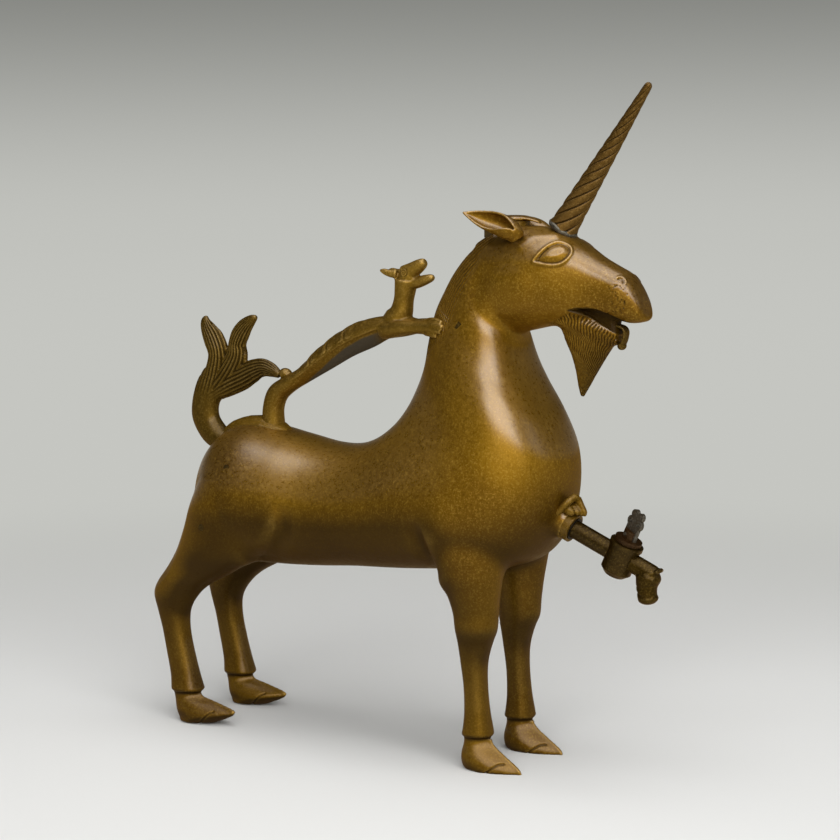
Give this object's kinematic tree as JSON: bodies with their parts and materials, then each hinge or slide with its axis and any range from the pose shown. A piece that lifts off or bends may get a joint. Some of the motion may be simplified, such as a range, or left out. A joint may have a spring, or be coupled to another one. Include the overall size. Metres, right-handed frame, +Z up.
{
  "type": "aquamanile",
  "caption": "Hollow cast-bronze water vessel in the form of a standing unicorn, with a beast handle, a lidded filler on the crown and a turning tap on the chest.",
  "frame": {"origin": "on the floor under the middle of the whole vessel's length and width", "axes": "+X toward the animal's nose and tap, +Y toward its left side, +Z up"},
  "size_m": [0.3361, 0.0998, 0.394],
  "materials": {
    "bronze": "polished brass-coloured bronze with a brown patina",
    "dark_bronze": "darker, less rubbed bronze",
    "pewter": "dull soft solder",
    "packing": "dark greased packing"
  },
  "bodies": {
    "vessel": {"body_shell": "bronze", "head_shell": "bronze", "front_leg_left": "bronze", "front_leg_right": "bronze", "hind_leg_left": "bronze", "hind_leg_right": "bronze", "ear_left": "bronze", "ear_right": "bronze", "tongue": "dark_bronze", "horn": "dark_bronze", "horn_seat": "pewter", "tail": "dark_bronze", "rump_pad": "bronze", "beast_handle": "dark_bronze", "spigot_collar": "bronze", "collar_mask": "bronze", "pipe_packing": "packing", "spigot_pipe": "dark_bronze", "tap_barrel": "dark_bronze", "spout_head": "dark_bronze", "core_pins": "dark_bronze", "filler_rim": "bronze", "lid_hinge": "dark_bronze", "lid_pin": "dark_bronze"},
    "plug": {"tap_plug": "dark_bronze", "tap_key": "dark_bronze", "key_rivet": "dark_bronze"},
    "lid": {"filler_lid": "bronze"}
  },
  "joints": [
    {"name": "tap_turn", "type": "hinge", "parent": "vessel", "child": "plug", "pos_m": [0.1441, 0, 0.1284], "axis": [0.3972, 0, 0.9178], "continuous": true},
    {"name": "lid_swing", "type": "hinge", "parent": "vessel", "child": "lid", "pos_m": [0.06, 0, 0.3174], "axis": [0, -1, 0], "range_deg": [0, 105]}
  ]
}
